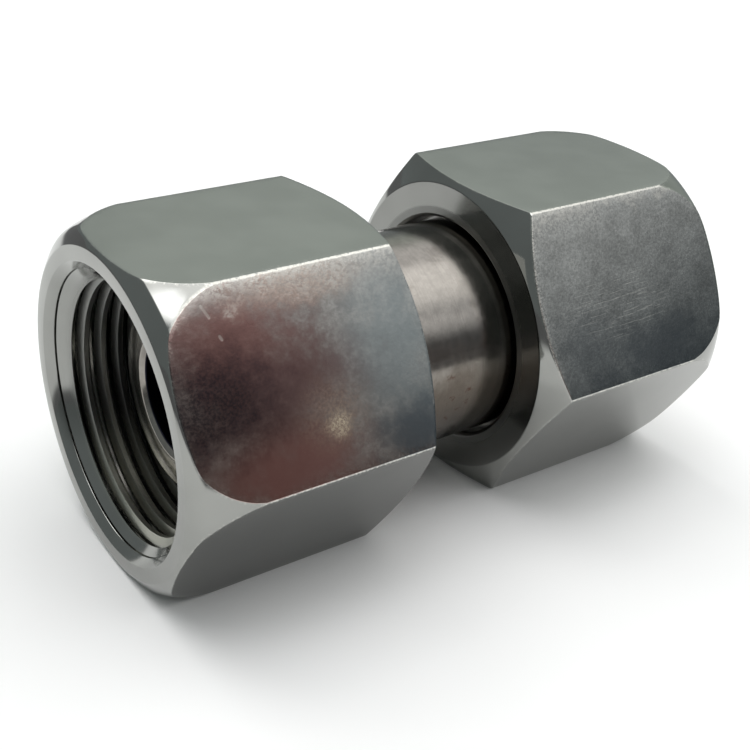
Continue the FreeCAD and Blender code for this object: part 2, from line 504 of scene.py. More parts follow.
@dataclass
class ConnectorBody:
    """The turned body with a sealing cone at each end. Sizes are in millimetres.

    Args:
        half_length: Half the union's length.
        tip_depth: Depth of the tip inside a nut's mouth.
        sleeve: Radius of the sleeve.
        bore: Radius of the flow bore.
        bore_chamfer: Size of the chamfer at the bore's mouth.
        cone_length: Length of the cone.
        cone_slope: Rise of the cone.
        cone_step: Step from the cone to the sleeve.
        tip_edge: Size of the tip's outer chamfer.
        seal_to_tip: Distance of the seal ring from the tip.
        seal_groove: Radius of the seal groove's floor.
        seal_half_width: Half the width of the seal groove.
        wire_depth: Depth of the wire ring inside a nut's mouth.
        wire_groove: Radius of the wire groove's floor.
        wire_half_width: Half the width of the wire groove.
        bore_edge: Rounding of the bore's chamfer.
        tip_edge_blend: Rounding of the tip's chamfer.
        cone_edge: Rounding of the cone's other edges.
        sleeve_edge: Rounding of the wire groove's edges.
    """

    CONE_DEGREES = 12

    half_length: float
    tip_depth: float = 5.3
    sleeve: float = 9.5
    bore: float = 4.75
    bore_chamfer: float = 0.4
    cone_length: float = 6.5
    cone_slope: float = math.tan(math.radians(CONE_DEGREES))
    cone_step: float = 0.4
    tip_edge: float = 0.4
    seal_to_tip: float = 3.0
    seal_groove: float = 6.486
    seal_half_width: float = 1.2
    wire_depth: float = 18.2
    wire_groove: float = 7.4
    wire_half_width: float = 1.05
    bore_edge: float = 0.08
    tip_edge_blend: float = 0.15
    cone_edge: float = 0.1
    sleeve_edge: float = 0.04

    def end_outline(self) -> list[Corner]:
        """The outline of the left end, from the bore round the tip to the sleeve."""
        tip_radius = self.sleeve - self.cone_step - self.cone_length * self.cone_slope

        def on_cone(from_tip: float, blend: float) -> Corner:
            """A corner on the cone, at a distance from the tip."""
            return Corner(self.tip_depth + from_tip, tip_radius + from_tip * self.cone_slope, blend)

        groove_front = self.seal_to_tip - self.seal_half_width
        groove_rear = self.seal_to_tip + self.seal_half_width
        wire_front = self.wire_depth - self.wire_half_width
        wire_rear = self.wire_depth + self.wire_half_width
        return [
            Corner(self.tip_depth + self.bore_chamfer, self.bore, self.bore_edge),
            Corner(self.tip_depth, self.bore + self.bore_chamfer, self.bore_edge),
            Corner(self.tip_depth, tip_radius - self.tip_edge, self.tip_edge_blend),
            on_cone(self.tip_edge, self.tip_edge_blend),
            on_cone(groove_front, self.cone_edge),
            Corner(self.tip_depth + groove_front, self.seal_groove, self.cone_edge),
            Corner(self.tip_depth + groove_rear, self.seal_groove, self.cone_edge),
            on_cone(groove_rear, self.cone_edge),
            on_cone(self.cone_length, self.cone_edge),
            Corner(self.tip_depth + self.cone_length + self.cone_step, self.sleeve, self.cone_edge),
            Corner(wire_front, self.sleeve, self.sleeve_edge),
            Corner(wire_front, self.wire_groove),
            Corner(wire_rear, self.wire_groove),
            Corner(wire_rear, self.sleeve, self.sleeve_edge),
        ]

    def build(self, lathe: Lathe) -> Piece:
        """Turns the body on a lathe, with both ends the same."""
        left = self.end_outline()
        right = [Corner(2 * self.half_length - corner.depth, corner.radius, corner.blend)
                 for corner in reversed(left)]
        body = lathe.turn("connector_body_detailed", left + right)
        Bench.finish(body)
        return body


def operator(operation: str, reflected: bool = False) -> Callable[..., "Signal"]:
    """A method that works out an operation on a signal and on other values.

    Args:
        operation: The operation of the Math or Vector Math node.
        reflected: Whether the signal comes last, as in 1 - mask.

    Returns:
        The method.
    """

    def method(signal: "Signal", *others: "Value") -> "Signal":
        """The operation on this signal and the others."""
        values = (*others, signal) if reflected else (signal, *others)
        return signal.graph.maths(operation, *values)

    return method


class Signal:
    """The output of a node, as a value that Python expressions can work with.

    Args:
        graph: The graph that new nodes are added to.
        socket: The output socket.
        vector: Whether the value is a colour or a vector and not a number.
    """

    def __init__(self, graph: "Graph", socket: bpy.types.NodeSocket, vector: bool = False) -> None:
        """Keeps the socket and its kind."""
        self.graph = graph
        self.socket = socket
        self.vector = vector

    __add__, __radd__ = operator("ADD"), operator("ADD", reflected=True)
    __sub__, __rsub__ = operator("SUBTRACT"), operator("SUBTRACT", reflected=True)
    __mul__, __rmul__ = operator("MULTIPLY"), operator("MULTIPLY", reflected=True)
    __truediv__, __rtruediv__ = operator("DIVIDE"), operator("DIVIDE", reflected=True)
    __pow__, __abs__ = operator("POWER"), operator("ABSOLUTE")

    def rise(self, low: "Value", high: "Value") -> "Signal":
        """A soft step that is 0 up to the low value and 1 from the high value on."""
        return self.graph.signal("ShaderNodeMapRange", {"interpolation_type": "SMOOTHSTEP"},
                                 {"Value": self, "From Min": low, "From Max": high})

    def fall(self, low: "Value", high: "Value") -> "Signal":
        """A soft step that is 1 up to the low value and 0 from the high value on."""
        return 1.0 - self.rise(low, high)

    def between(self, plain: "Value", other: "Value") -> "Signal":
        """A number that goes from one value to another as this mask goes from 0 to 1."""
        return plain + (other - plain) * self

    def blend(self, plain: "Colour", other: "Colour") -> "Signal":
        """A colour that goes from one colour to another as this mask goes from 0 to 1."""
        return self.graph.signal("ShaderNodeMix", {"data_type": "RGBA"},
                                 {"Factor_Float": self, "A_Color": plain, "B_Color": other},
                                 "Result_Color", vector=True)


Value = Signal | float
Colour = Signal | Triple


@dataclass(frozen=True)
class Noise:
    """Smooth noise about one half.

    Args:
        scale: How many lumps there are in a unit of the place.
        detail: How many finer layers are added.
        rough: How strong the finer layers are.
    """

    scale: float
    detail: float = 3.0
    rough: float = 0.55


class Graph:
    """A node tree that is built from expressions.

    Args:
        tree: The tree of a material or of the world.
    """

    def __init__(self, tree: bpy.types.NodeTree) -> None:
        """Empties the tree."""
        self.tree = tree
        tree.nodes.clear()

    @staticmethod
    def find(sockets: bpy.types.bpy_prop_collection, key: str | int) -> bpy.types.NodeSocket:
        """A socket by its number, its identifier or its name."""
        if isinstance(key, int):
            return sockets[key]
        return next(socket for socket in sockets if key in (socket.identifier, socket.name))

    def node(self, kind: str, settings: dict[str, object], sockets: Sockets) -> bpy.types.Node:
        """Adds a node.

        Args:
            kind: The node's type.
            settings: Properties of the node, which are set first.
            sockets: Signals to link and plain values to set, by socket.

        Returns:
            The new node.
        """
        node = self.tree.nodes.new(kind)
        for name, value in settings.items():
            setattr(node, name, value)
        for key, value in sockets.items():
            socket = self.find(node.inputs, key)
            if isinstance(value, Signal):
                self.tree.links.new(value.socket, socket)
            elif isinstance(value, tuple) and socket.type == "RGBA":
                socket.default_value = (*value, 1.0)
            elif isinstance(value, float) and socket.type == "VECTOR":
                socket.default_value = (value, value, value)
            else:
                socket.default_value = value
        return node

    def signal(self, kind: str, settings: dict[str, object], sockets: Sockets,
               output: str | int = 0, vector: bool = False) -> Signal:
        """Adds a node and gives one of its outputs."""
        node = self.node(kind, settings, sockets)
        return Signal(self, self.find(node.outputs, output), vector)

    def maths(self, operation: str, *values: Value | Colour) -> Signal:
        """Works out an operation on numbers, or on vectors where one of the values is a vector."""
        vector = any(isinstance(value, tuple) or getattr(value, "vector", False) for value in values)
        kind = "ShaderNodeVectorMath" if vector else "ShaderNodeMath"
        return self.signal(kind, {"operation": operation}, dict(enumerate(values)), vector=vector)

    def least(self, *values: Value) -> Signal:
        """The smallest of some numbers."""
        return reduce(lambda one, other: self.maths("MINIMUM", one, other), values)

    def most(self, *values: Value) -> Signal:
        """The largest of some numbers."""
        return reduce(lambda one, other: self.maths("MAXIMUM", one, other), values)

    def parts(self, place: Signal) -> tuple[Signal, Signal, Signal]:
        """The three numbers of a vector."""
        node = self.node("ShaderNodeSeparateXYZ", {}, {0: place})
        return tuple(Signal(self, socket) for socket in node.outputs)

    def joined(self, x: Value, y: Value, z: Value) -> Signal:
        """A vector of three numbers."""
        return self.signal("ShaderNodeCombineXYZ", {}, {0: x, 1: y, 2: z}, vector=True)

    def noise(self, place: Signal, noise: Noise) -> Signal:
        """Smooth noise from 0 to 1, read at a place."""
        sockets = {"Vector": place, "Scale": noise.scale, "Detail": noise.detail,
                   "Roughness": noise.rough}
        return self.signal("ShaderNodeTexNoise", {}, sockets)

    def bump(self, height: Signal, strength: float, distance: float) -> Signal:
        """The surface's direction, tilted as a height says, with the distance in metres."""
        sockets = {"Height": height, "Strength": strength, "Distance": distance}
        return self.signal("ShaderNodeBump", {}, sockets, "Normal", vector=True)

    def surface(self, sockets: Sockets) -> None:
        """Ends the tree with a principled shader."""
        shader = self.signal("ShaderNodeBsdfPrincipled", {}, sockets)
        self.node("ShaderNodeOutputMaterial", {}, {"Surface": shader})

    def metal(self, colour: Signal, rough: Signal, height: Signal) -> None:
        """Ends the tree with bare metal, with its relief in millimetres."""
        self.surface({"Base Color": colour, "Metallic": 1.0, "Roughness": rough,
                      "Normal": self.bump(height, 1.0, MM)})


def new_material(name: str) -> tuple[Material, Graph]:
    """An empty material with this name, and its graph."""
    material = bpy.data.materials.new(name)
    material.use_nodes = True
    return material, Graph(material.node_tree)


def limits(size: float, soft: Pair) -> Pair:
    """Where a soft mask starts and ends, given from a size."""
    return size + soft[0], size + soft[1]


def millimetre_place(graph: Graph) -> Signal:
    """The place on a piece in millimetres, in the frame's own axes."""
    here = graph.signal("ShaderNodeTexCoord", {}, {}, "Object", vector=True)
    return here * (1 / MM)


class NutPlaces:
    """Places on a hexagon nut, in millimetres.

    Each pair says where a soft mask starts and ends, from 0 or from the size beside it.

    Args:
        graph: The graph that they are worked out in.
        nut: The nut's sizes.
        half_length: Half the union's length.
    """

    FLAT_SKIN = (-0.03, -0.01)  # half the width across flats
    OUTSIDE = (-0.3, -0.2)      # the front face's radius
    BELOW_FLAT = (0.03, 0.16)
    UPWARD = (2.0, 8.0)
    THREAD_WALL = (-0.6, -0.3)  # the radius of the step
    THREAD_DEPTH = (1.2, 2.0)
    REAR_DEPTH = (-0.9, -0.3)   # the nut's length
    REAR_RIM = (0.0, 0.1)       # the rear face's radius
    # Where the painted yellowish highlight in the lower part of the thread lies, and how strong it is.
    GLINT_HEIGHT = (-9.0, -4.5)
    GLINT_DEPTH = (9.0, 13.0)
    GLINT_STRENGTH = 0.6
    NUMBER_IN, NUMBER_OUT = 0.4, 0.6

    def __init__(self, graph: Graph, nut: SwivelNut, half_length: float) -> None:
        """Works out depth, radius and the place on a flat."""
        self.graph = graph
        self.here = millimetre_place(graph)
        self.along, side, up = graph.parts(self.here)
        self.depth = half_length - abs(self.along)
        radius = graph.maths("SQRT", side * side + up * up)
        angle = graph.maths("ARCTAN2", up, side) - SIXTH_TURN / 2
        self.flat_number = graph.maths("ROUND", angle / SIXTH_TURN)
        local = angle - self.flat_number * SIXTH_TURN
        self.across = radius * graph.maths("SINE", local)
        apothem = radius * graph.maths("COSINE", local)
        self.on_flat = apothem.rise(*limits(nut.flats / 2, self.FLAT_SKIN))
        self.outside = radius.rise(*limits(nut.front_face, self.OUTSIDE))
        front_cone = nut.front_face + self.depth / nut.chamfer_slope
        rear_cone = nut.rear_face + (nut.length - self.depth) / nut.chamfer_slope
        start_depth = (nut.round_start - nut.front_face) * nut.chamfer_slope
        rise = math.sqrt(nut.round_radius ** 2 - (nut.round_start - nut.round_centre) ** 2)
        short = graph.most(start_depth + rise - self.depth, 0.0)
        front_round = nut.round_centre + graph.maths("SQRT", nut.round_radius ** 2 - short * short)
        blank = graph.least(front_cone, front_round, rear_cone, nut.blank_radius)
        self.to_turned = blank - radius
        self.below_flat = graph.most(nut.flats / 2 - apothem, 0.0)
        self.corner = nut.flats / 2 * math.tan(SIXTH_TURN / 2)
        self.to_long_edge = self.corner - abs(self.across)
        self.near_flat = self.below_flat.fall(*self.BELOW_FLAT)
        self.upward = up.rise(*self.UPWARD)
        self.thread = (radius.fall(*limits(nut.step, self.THREAD_WALL))
                       * self.depth.rise(*self.THREAD_DEPTH))
        self.rear_face = (self.depth.rise(*limits(nut.length, self.REAR_DEPTH))
                          * radius.fall(*limits(nut.rear_face, self.REAR_RIM)))
        # Painted highlight: a yellowish glint in the lower part of the thread.
        self.painted_glint = (self.thread * up.fall(*self.GLINT_HEIGHT) * self.depth.fall(*self.GLINT_DEPTH)
                      * self.GLINT_STRENGTH)

    def flat(self, number: int) -> Signal:
        """A mask of one flat, numbered from the +Y side round through +Z, from -3 to 3."""
        after = self.flat_number.rise(number - self.NUMBER_OUT, number - self.NUMBER_IN)
        before = self.flat_number.fall(number + self.NUMBER_IN, number + self.NUMBER_OUT)
        return after * before


@dataclass(frozen=True)
class Scratch:
    """A fine light mark on the flat that faces up and towards the viewer.

    Args:
        start: Place along the axis and across the flat where it starts, in millimetres.
        end: Place where it ends.
        width: Its width.
    """

    CORE = 0.3  # the share of the width that is fully bright

    start: Pair
    end: Pair
    width: float = 0.09

    def mask(self, places: NutPlaces) -> Signal:
        """Where the scratch is, as a mask on any flat."""
        graph = places.graph
        run = (self.end[0] - self.start[0], self.end[1] - self.start[1])
        length = math.hypot(*run)
        ahead = places.along - self.start[0]
        aside = places.across - self.start[1]
        share = (ahead * run[0] + aside * run[1]) / length ** 2
        share = graph.least(graph.most(share, 0.0), 1.0)
        off_along = ahead - share * run[0]
        off_across = aside - share * run[1]
        distance = graph.maths("SQRT", off_along * off_along + off_across * off_across)
        return distance.fall(self.width * self.CORE, self.width)


@dataclass(frozen=True)
class Smudge:
    """A soft ragged patch on the flat that faces up and towards the viewer. Patches are used for films,
    painted shade and painted reflections.

    Args:
        place: Its middle, along the axis and across the flat, in millimetres.
        size: Half its length and half its width.
        colour: Its colour.
        strength: How much of the metal it covers.
        rough: How much roughness it adds.
        breakup: How much of it fine specks take away.
    """

    RAGGED = 1.7         # how uneven its edge is, as a share of its size
    EDGE = (0.2, 1.35)   # where it thins out, as shares of its size
    SPECKS = (0.4, 0.6)

    place: Pair
    size: Pair
    colour: Triple
    strength: float
    rough: float = 0.0
    breakup: float = 0.0

    def mask(self, places: NutPlaces, ragged: Signal, specks: Signal) -> Signal:
        """Where the patch is, as a mask on any flat.

        Args:
            places: The places on the nut.
            ragged: Noise about one half that makes its edge uneven.
            specks: Finer noise about one half that breaks it up.

        Returns:
            The mask.
        """
        along = (places.along - self.place[0]) / self.size[0]
        across = (places.across - self.place[1]) / self.size[1]
        distance = places.graph.maths("SQRT", along * along + across * across)
        mask = (distance + (ragged - MIDDLE) * self.RAGGED).fall(*self.EDGE)
        if self.breakup:
            mask = mask * specks.rise(*self.SPECKS).between(1.0 - self.breakup, 1.0)
        return mask


@dataclass(frozen=True)
class PlatedSteel:
    """Zinc-plated steel with worn edges, cloudy flats and fine marks, and with painted shade, painted
    highlights and painted reflections.

    Args:
        name: The finish's name.
        colour: The plating.
        bright: The metal where the plating is rubbed, also the painted highlight along the upper edges.
        oil: The yellowish painted highlight in the lower part of the thread.
        painted_lower_shade: Painted shade on the lower flat on the viewer's side: how dark it is, as a
            share of the plating.
        turned: Painted shade on the turned surfaces: how dark they are, as a share of the plating.
        painted_rear_shade: Painted shade on the rear face: how dark it is, as a share of the other
            turned surfaces.
        grain: How strong the fine specks on the viewer's flat are.
        mottle: How strong its coarser blotches are.
        wear: How far the rubbed specks along that flat's upper edge reach, in millimetres.
        rear_wear: How far they reach along its rear edge.
        rubbed: Middle and half size of the part of that flat with fine scratches along it.
        films_and_shade: Films, painted shade and painted reflections on that flat, each over the ones
            before it.
        scratches: Single marks on that flat.
    """

    VIEWER_FLAT = 2
    LOWER_FLAT = -3
    CLOUDS = Noise(0.16, 2.0)
    FINE = Noise(2.6, 4.0, 0.65)
    SPECKS = Noise(5.0, 3.0, 0.7)
    RAGGED = Noise(0.45, 6.0, 0.7)
    RINGS = Noise(5.0, 2.0)
    RING_STRETCH = (1.0, 0.02, 0.02)
    LINES = Noise(5.5, 2.0)
    LINE_STRETCH = 0.06          # along the axis, and half of it as their slant
    # Where the noises turn from 0 to 1.
    CLOUD_STEP = (0.3, 0.7)
    BLOTCH_STEP = (0.36, 0.62)
    EVEN_STEP = (0.35, 0.65)
    LINE_STEP = (0.54, 0.68)
    # Shares of the plating's brightness.
    CLOUD_SHADE = (0.93, 1.05)
    BLOTCHES, FINE_BLOTCHES, BLOTCH_MIDDLE = 0.4, 0.2, 0.3
    # Painted shade in the thread.
    THREAD_SHADE = 0.85
    # Roughness.
    CLOUD_ROUGH = (0.11, 0.15)
    TURNED_ROUGH, THREAD_ROUGH, WORN_ROUGH = 0.05, 0.22, 0.14
    # Heights in millimetres.
    FINE_HEIGHT, RING_HEIGHT, GRAIN_HEIGHT, WORN_HEIGHT = 0.002, 0.0015, 0.006, 0.004
    # Strength and soft edge of the marks.
    SCRATCH_STRENGTH = 0.45
    LINE_STRENGTH = 0.4
    RUBBED_EDGE = (0.2, 1.4)
    # Edge wear: reaches in millimetres, steps of the specks, strengths.
    LONG_REACH = (0.04, 0.3)
    LONG_STEP = (0.35, 0.7)
    LONG_STRENGTH = 0.7
    # The lower edges get less of the rubbed brightness than the upper ones: painted highlight.
    LOWEST_REACH = 0.5           # the share of that reach that is left on the lower edges
    NEAR_REACH = (0.1, 0.9)
    NEAR_STEP = (0.5, 0.7)
    NEAR_STRENGTH = (0.0, 0.4)
    UPPER_RAGGED = 7.0
    UPPER_STEP = (0.38, 0.6)
    UPPER_STRENGTH, UPPER_LEAST = 0.6, 0.25
    REAR_RAGGED = 1.5
    REAR_HALF = (12.0, 13.0)     # depths where the rear half starts
    REAR_ACROSS = (4.5, 7.0)
    REAR_STEP = (0.42, 0.6)
    REAR_STRENGTH = 0.6
    CURVED_REACH = (0.0, 0.3)
    CURVED_STEP = (0.5, 0.66)
    CURVED_STRENGTH = 0.35
    # How the edges roll over, in millimetres.
    ROLL_WIDTH = (0.15, 0.5)
    ROLL_DEPTH = 0.18
    CURVED_ROLL = 0.014
    STRAIGHT_ROLL = (0.012, 0.035)

    name: str
    colour: Triple = (0.42, 0.425, 0.405)
    bright: Triple = (0.70, 0.69, 0.64)
    oil: Triple = (0.56, 0.56, 0.48)
    painted_lower_shade: float = 0.4
    turned: float = 0.73
    painted_rear_shade: float = 0.78
    grain: float = 0.1
    mottle: float = 1.0
    wear: float = 2.6
    rear_wear: float = 0.3
    rubbed: tuple[float, float, float, float] = (0.0, 0.0, 1.0, 1.0)
    films_and_shade: tuple[Smudge, ...] = ()
    scratches: tuple[Scratch, ...] = ()

    def material(self, nut: SwivelNut, half_length: float) -> Material:
        """Makes the material.

        Args:
            nut: The sizes of the nut that it is for.
            half_length: Half the union's length.

        Returns:
            The material.
        """
        material, graph = new_material(self.name)
        places = NutPlaces(graph, nut, half_length)
        flats = places.on_flat * places.outside
        turned = (1.0 - flats) * places.outside
        viewer_flat = places.flat(self.VIEWER_FLAT) * flats
        clouds = graph.noise(places.here, self.CLOUDS).rise(*self.CLOUD_STEP)
        fine = graph.noise(places.here, self.FINE)
        specks = graph.noise(places.here, self.SPECKS)
        rings = graph.noise(places.here * self.RING_STRETCH, self.RINGS)
        ragged = graph.noise(places.here, self.RAGGED)
        lower_flat = places.flat(self.LOWER_FLAT) * flats
        # Painted shade: the lower flat on the viewer's side is darker.
        shade = clouds.between(*self.CLOUD_SHADE) * lower_flat.between(1.0, self.painted_lower_shade)
        blotches = (ragged.rise(*self.BLOTCH_STEP) * self.BLOTCHES
                    + fine.rise(*self.EVEN_STEP) * self.FINE_BLOTCHES) * self.mottle
        shade = shade * (1.0 + viewer_flat * (blotches - self.BLOTCH_MIDDLE * self.mottle))
        grain = viewer_flat * (specks.rise(*self.EVEN_STEP) - MIDDLE) * (self.grain / 2)
        shade = shade * (1.0 + grain)
        # Painted shade: the turned surfaces are darker than the flats, and the thread darker still.
        shade = shade * flats.between(self.turned, 1.0) * places.thread.between(1.0, self.THREAD_SHADE)
        # Painted shade: the rear face, across the gap from the other nut, is darker.
        shade = shade * places.rear_face.between(1.0, self.painted_rear_shade)
        # Painted highlight: the lower part of the thread turns yellowish.
        colour = places.painted_glint.blend(graph.maths("MULTIPLY", self.colour, shade), self.oil)
        rough = clouds.between(*self.CLOUD_ROUGH)
        rough = rough - turned * self.TURNED_ROUGH + places.thread * self.THREAD_ROUGH
        # Films, painted shade and painted reflections on the flat towards the viewer.
        for film_and_shade in self.films_and_shade:
            mask = film_and_shade.mask(places, ragged, specks) * viewer_flat * film_and_shade.strength
            colour = mask.blend(colour, film_and_shade.colour)
            rough = rough + mask * film_and_shade.rough
        worn = self.edge_wear(places, fine, specks, ragged)
        worn = graph.most(worn, self.fine_scratches(places) * viewer_flat)
        for scratch in self.scratches:
            worn = graph.most(worn, scratch.mask(places) * viewer_flat * self.SCRATCH_STRENGTH)
        colour = worn.blend(colour, self.bright)
        rough = rough + worn * self.WORN_ROUGH
        height = self.edge_roll(places, ragged) + fine * flats * self.FINE_HEIGHT
        height = height + rings * (1.0 - flats) * self.RING_HEIGHT
        height = height + (fine + specks) * viewer_flat * (self.grain * self.GRAIN_HEIGHT)
        height = height - worn * self.WORN_HEIGHT
        graph.metal(colour, rough, height)
        return material

    def edge_wear(self, places: NutPlaces, fine: Signal, specks: Signal, ragged: Signal) -> Signal:
        """Where the plating is rubbed bright along the edges of the flats, wider and brighter on the
        upper edges as painted highlight.

        Args:
            places: The places on the nut.
            fine: Noise about one half.
            specks: Finer noise about one half.
            ragged: Coarse noise about one half.

        Returns:
            A mask.
        """
        graph = places.graph
        reach = specks.rise(*self.LONG_STEP).between(*self.LONG_REACH)
        # Painted highlight: the rubbed edges are wider and brighter towards the top.
        reach = reach * places.upward.between(self.LOWEST_REACH, 1.0)
        long_edge = places.to_long_edge.fall(reach * 0.5, reach) * self.LONG_STRENGTH
        near = places.to_long_edge.fall(*self.NEAR_REACH) * specks.rise(*self.NEAR_STEP)
        near = near * places.upward.between(*self.NEAR_STRENGTH)
        viewer_flat = places.flat(self.VIEWER_FLAT)
        upper = places.across + places.corner + (ragged - MIDDLE) * self.UPPER_RAGGED
        upper = upper.fall(0.0, self.wear) * viewer_flat
        upper = upper * (fine.rise(*self.UPPER_STEP) * self.UPPER_STRENGTH + self.UPPER_LEAST)
        rear = (places.to_turned + (ragged - MIDDLE) * self.REAR_RAGGED).fall(0.0, self.rear_wear)
        rear = rear * places.depth.rise(*self.REAR_HALF) * places.across.fall(*self.REAR_ACROSS)
        rear = rear * viewer_flat * specks.rise(*self.REAR_STEP) * self.REAR_STRENGTH
        curved = places.to_turned.fall(*self.CURVED_REACH) * specks.rise(*self.CURVED_STEP)
        worn = graph.most(long_edge, near, upper, rear, curved * self.CURVED_STRENGTH)
        return worn * places.near_flat * places.outside

    def fine_scratches(self, places: NutPlaces) -> Signal:
        """Faint scratches that run along the flats, inside the rubbed part, as a mask."""
        graph = places.graph
        middle_along, middle_across, half_along, half_across = self.rubbed
        slanted = places.across + places.along * (self.LINE_STRETCH / 2)
        place = graph.joined(places.along * self.LINE_STRETCH, slanted, 0.0)
        lines = graph.noise(place, self.LINES).rise(*self.LINE_STEP)
        along = (places.along - middle_along) / half_along
        across = (places.across - middle_across) / half_across
        inside = (along * along + across * across).fall(*self.RUBBED_EDGE)
        return lines * inside * self.LINE_STRENGTH

    def edge_roll(self, places: NutPlaces, ragged: Signal) -> Signal:
        """How far the surface rolls away towards the edges of the flats, in millimetres.

        Args:
            places: The places on the nut.
            ragged: Coarse noise about one half.

        Returns:
            A height, 0 away from the edges and below 0 near them.
        """
        graph = places.graph

        def roll(distance: Signal, width: Value) -> Signal:
            """A share that is 1 at the edge and 0 from this width on."""
            return graph.most(1.0 - distance / width, 0.0) ** 2.0

        width = ragged.rise(*self.EVEN_STEP).between(*self.ROLL_WIDTH)
        curved = roll(graph.most(places.to_turned, 0.0), width) * self.CURVED_ROLL
        straight = roll(places.to_long_edge, width) * places.upward.between(*self.STRAIGHT_ROLL)
        return graph.most(curved, straight) * roll(places.below_flat, self.ROLL_DEPTH) * -1.0


@dataclass(frozen=True)
class TurnedSteel:
    """Turned steel with feed lines and brown stains, with painted shade on the sleeve's underside and in
    the flow bore.

    Args:
        name: The finish's name.
        colour: The clean metal.
        stain: The brown of the stains, and of the painted shade on the underside of the sleeve.
        rust: The small rust spots on the underside of the sleeve.
        bore: The painted shade inside the flow bore, near black.
        bore_radius: Radius that the painted shade reaches out to, in millimetres.
        sleeve_radius: Radius beyond which the sleeve gets the brown stain and painted shade on its
            underside.
    """

    FEED = Noise(7.0, 3.0, 0.7)
    FEED_STRETCH = (1.0, 0.015, 0.015)
    PATCHES = Noise(0.35, 5.0, 0.65)
    SPECKS = Noise(1.3, 4.0, 0.7)
    SOFT_RADIUS = 0.1
    BORE_SOFT = 0.05
    UNDER_STEP = (-0.45, 0.05)   # from the sides of the sleeve to its underside
    UNDER_RAGGED, UNDER_STRENGTH = 0.5, 0.9
    PATCH_STEP = (0.5, 0.75)
    PATCH_STRENGTH = 0.4
    RUST_STEP = (0.56, 0.68)
    RUST_STRENGTH = 0.8
    EVEN_STEP = (0.3, 0.7)
    FEED_SHADE = (0.93, 1.04)
    SPECK_SHADE = (0.9, 1.08)
    ROUGH_STEP = (0.3, 0.75)
    ROUGH = (0.12, 0.18)
    FILM_ROUGH, BORE_ROUGH = 0.05, 0.2
    HEIGHT = 0.004               # of the feed lines and of the specks, in millimetres

    name: str
    colour: Triple = (0.32, 0.30, 0.275)
    stain: Triple = (0.10, 0.082, 0.066)
    rust: Triple = (0.06, 0.026, 0.018)
    bore: Triple = (0.02, 0.02, 0.032)
    bore_radius: float = 4.8
    sleeve_radius: float = 9.0

    def material(self) -> Material:
        """Makes the material."""
        material, graph = new_material(self.name)
        here = millimetre_place(graph)
        side, up = graph.parts(here)[1:]
        radius = graph.maths("SQRT", side * side + up * up)
        feed = graph.noise(here * self.FEED_STRETCH, self.FEED)
        patch = graph.noise(here, self.PATCHES)
        specks = graph.noise(here, self.SPECKS)
        sleeve = radius.rise(self.sleeve_radius - self.SOFT_RADIUS, self.sleeve_radius)
        # Painted shade mixed with a brown stain: the sleeve gets darker and browner towards its
        # underside.
        under = up / radius * -1.0 + (patch - MIDDLE) * self.UNDER_RAGGED
        under = under.rise(*self.UNDER_STEP) * sleeve
        stain_and_shade_mask = graph.most(patch.rise(*self.PATCH_STEP) * self.PATCH_STRENGTH,
                          under * self.UNDER_STRENGTH)
        colour = stain_and_shade_mask.blend(self.colour, self.stain)
        rusty = specks.rise(*self.RUST_STEP) * under * self.RUST_STRENGTH
        colour = rusty.blend(colour, self.rust)
        colour = colour * (feed.rise(*self.EVEN_STEP).between(*self.FEED_SHADE)
                           * specks.rise(*self.EVEN_STEP).between(*self.SPECK_SHADE))
        # Painted shade: the flow bore is near black.
        in_bore = radius.fall(self.bore_radius, self.bore_radius + self.BORE_SOFT)
        colour = in_bore.blend(colour, self.bore)
        rough = specks.rise(*self.ROUGH_STEP).between(*self.ROUGH)
        rough = rough + stain_and_shade_mask * self.FILM_ROUGH + in_bore * self.BORE_ROUGH
        graph.metal(colour, rough, feed * self.HEIGHT + specks * self.HEIGHT)
        return material


@dataclass(frozen=True)
class SealRubber:
    """Black rubber of the seal rings.

    Args:
        name: The finish's name.
        colour: The clean rubber.
        bloom: The paler bloom on it.
        rough: Roughness of the clean rubber and of the bloom.
    """

    BLOOM = Noise(1.5, 4.0)
    BLOOM_STEP = (0.5, 0.8)
    BLOOM_STRENGTH = 0.5
    RELIEF = 0.1
    RELIEF_METRES = 0.00002

    name: str
    colour: Triple = (0.03, 0.03, 0.03)
    bloom: Triple = (0.055, 0.055, 0.055)
    rough: Pair = (0.4, 0.6)

    def material(self) -> Material:
        """Makes the material."""
        material, graph = new_material(self.name)
        here = millimetre_place(graph)
        bloom = graph.noise(here, self.BLOOM)
        mask = bloom.rise(*self.BLOOM_STEP) * self.BLOOM_STRENGTH
        graph.surface({"Base Color": mask.blend(self.colour, self.bloom),
                       "Roughness": bloom.between(*self.rough),
                       "Normal": graph.bump(bloom, self.RELIEF, self.RELIEF_METRES)})
        return material


@dataclass(frozen=True)
class DrawnWire:
    """Drawn wire of the retaining rings.

    Args:
        name: The finish's name.
        colour: The bright wire.
        dark: The wire in the drawing marks.
        rough: Roughness in those marks and beside them.
    """

    DRAW = Noise(1.0, 3.0)
    DRAW_STRETCH = (4.0, 0.4, 0.4)
    DRAW_STEP = (0.3, 0.7)
    RELIEF = 0.2
    RELIEF_METRES = 0.00001

    name: str
    colour: Triple = (0.45, 0.445, 0.43)
    dark: Triple = (0.36, 0.355, 0.34)
    rough: Pair = (0.25, 0.4)

    def material(self) -> Material:
        """Makes the material."""
        material, graph = new_material(self.name)
        here = millimetre_place(graph)
        draw = graph.noise(here * self.DRAW_STRETCH, self.DRAW)
        graph.surface({"Base Color": draw.rise(*self.DRAW_STEP).blend(self.dark, self.colour),
                       "Metallic": 1.0, "Roughness": draw.between(*self.rough),
                       "Normal": graph.bump(draw, self.RELIEF, self.RELIEF_METRES)})
        return material


